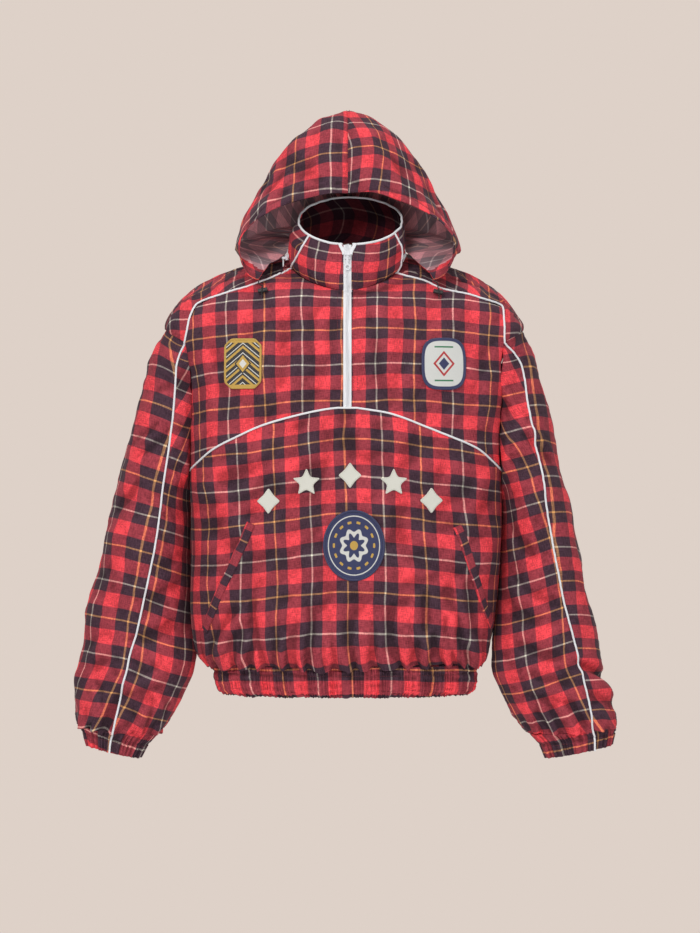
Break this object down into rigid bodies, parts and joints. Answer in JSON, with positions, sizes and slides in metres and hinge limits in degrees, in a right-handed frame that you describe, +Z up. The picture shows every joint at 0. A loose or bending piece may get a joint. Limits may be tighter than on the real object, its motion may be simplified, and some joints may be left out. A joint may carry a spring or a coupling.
{
  "type": "hooded half-zip track jacket",
  "caption": "Checked pullover jacket, filled out as worn, with a raised hood, stand-up collar, half zip, full sleeves with gathered cuffs and a gathered hem band.",
  "frame": {"origin": "middle of the neck opening, level with the high shoulder points, where the wearer's neck and shoulders carry the jacket", "axes": "+Z up, the front faces -Y, and the wearer's left is +X"},
  "size_m": [0.8354, 0.3261, 1.0204],
  "materials": {
    "check_cloth": "fine woven check with a soft sheen",
    "white_piping": "smooth white piping",
    "zip_white": "white zip tape and coil",
    "zip_metal": "white painted metal",
    "black_fitting": "matte black plastic",
    "navy_patch": "dense embroidery",
    "gold_patch": "dense embroidery",
    "cream_felt": "felt",
    "cream_patch": "dense embroidery",
    "black_cord": "braided elastic cord"
  },
  "bodies": {
    "jacket": {"arch_piping": "white_piping", "back_panel": "check_cloth", "collar_back": "check_cloth", "collar_edge_left": "white_piping", "collar_edge_right": "white_piping", "collar_front_left": "check_cloth", "collar_front_right": "check_cloth", "collar_piping_left": "white_piping", "collar_piping_right": "white_piping", "cord_lock_left": "black_fitting", "cord_lock_right": "black_fitting", "cuff_left": "check_cloth", "cuff_right": "check_cloth", "felt_motif_1": "cream_felt", "felt_motif_2": "cream_felt", "felt_motif_3": "cream_felt", "felt_motif_4": "cream_felt", "felt_motif_5": "cream_felt", "front_lower": "check_cloth", "front_yoke_left": "check_cloth", "front_yoke_right": "check_cloth", "hem_band": "check_cloth", "hood_cord_left": "black_cord", "hood_cord_right": "black_cord", "hood_left": "check_cloth", "hood_right": "check_cloth", "hood_zip_left": "zip_white", "hood_zip_right": "zip_white", "hood_zip_slider": "zip_metal", "patch_cream": "cream_patch", "patch_gold": "gold_patch", "patch_navy": "navy_patch", "pocket_welt_left": "check_cloth", "pocket_welt_right": "check_cloth", "shoulder_piping_left": "white_piping", "shoulder_piping_right": "white_piping", "sleeve_back_left": "check_cloth", "sleeve_back_right": "check_cloth", "sleeve_front_left": "check_cloth", "sleeve_front_right": "check_cloth", "sleeve_piping_left": "white_piping", "sleeve_piping_right": "white_piping", "zip_left": "zip_white", "zip_right": "zip_white", "zip_slider": "zip_metal"},
    "front_pull": {"zip_pull": "zip_metal"},
    "hood_pull": {"hood_zip_pull": "zip_metal"}
  },
  "joints": [
    {"name": "front_pull_swing", "type": "hinge", "parent": "jacket", "child": "front_pull", "pos_m": [0.002, -0.08437, 0.01119], "axis": [-1, 0, 0], "range_deg": [0, 165]},
    {"name": "hood_pull_swing", "type": "hinge", "parent": "jacket", "child": "hood_pull", "pos_m": [-0.09796, -0.01444, 0.01055], "axis": [-0.1858, 0.9826, 0], "range_deg": [0, 20]}
  ]
}
